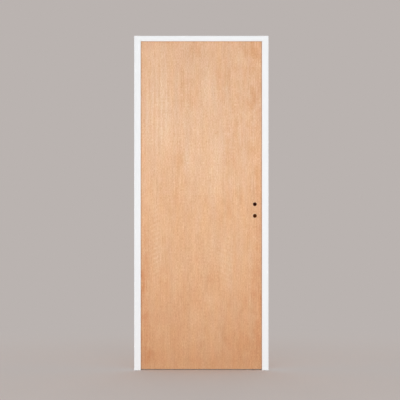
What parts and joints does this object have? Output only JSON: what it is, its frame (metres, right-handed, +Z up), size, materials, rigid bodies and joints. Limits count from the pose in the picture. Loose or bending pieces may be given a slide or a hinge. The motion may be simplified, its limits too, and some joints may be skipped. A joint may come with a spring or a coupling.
{
  "type": "interior door set with a flush wood-veneered leaf and a white rebated frame",
  "caption": "Flush interior door: a wood-veneered leaf, bored for a lever handle and a key, hung on butt hinges in a white rebated frame with soft seals.",
  "frame": {"origin": "on the hinge jamb's outer face, which is fixed to the wall, at the frame's mid depth and at floor level", "axes": "+X across the door from the hinge jamb to the lock jamb, +Y from the push side to the side that the leaf opens to, +Z up"},
  "size_m": [0.828, 0.0855, 2.061],
  "materials": {
    "veneer": "satin clear lacquer",
    "lipping": "satin clear lacquer",
    "frame_lacquer": "satin white lacquer",
    "softwood": "sawn and planed",
    "fibreboard": "bare board",
    "seal": "matt",
    "hinge_steel": "zinc plated",
    "lock_steel": "nickel plated",
    "bolt_metal": "nickel plated",
    "case_lacquer": "dark brown lacquer"
  },
  "bodies": {
    "frame": {"jamb_hinge_side": "frame_lacquer", "jamb_lock_side": "frame_lacquer", "frame_head": "frame_lacquer", "stop_hinge_side": "frame_lacquer", "stop_lock_side": "frame_lacquer", "stop_head": "frame_lacquer", "seal_hinge_side": "seal", "seal_lock_side": "seal", "seal_head": "seal", "strike_plate": "lock_steel", "hinge_frame_plate_top": "hinge_steel", "hinge_pin_top": "hinge_steel", "hinge_frame_plate_middle": "hinge_steel", "hinge_pin_middle": "hinge_steel", "hinge_frame_plate_bottom": "hinge_steel", "hinge_pin_bottom": "hinge_steel"},
    "leaf": {"leaf_skin_front": "veneer", "leaf_skin_back": "veneer", "leaf_lipping_hinge_edge": "lipping", "leaf_lipping_lock_edge": "lipping", "leaf_hinge_stile": "softwood", "leaf_lock_stile": "softwood", "leaf_top_rail": "softwood", "leaf_bottom_rail": "softwood", "leaf_lock_block": "softwood", "leaf_core": "fibreboard", "lock_case": "case_lacquer", "lock_forend": "lock_steel", "latch_bolt": "bolt_metal", "dead_bolt": "bolt_metal", "spindle_follower": "case_lacquer", "hinge_leaf_plate_top": "hinge_steel", "hinge_leaf_plate_middle": "hinge_steel", "hinge_leaf_plate_bottom": "hinge_steel"}
  },
  "joints": [
    {"name": "leaf_swing", "type": "hinge", "parent": "frame", "child": "leaf", "pos_m": [0.0305, 0.043, 1.02], "axis": [0, 0, 1], "range_deg": [0, 170]}
  ]
}
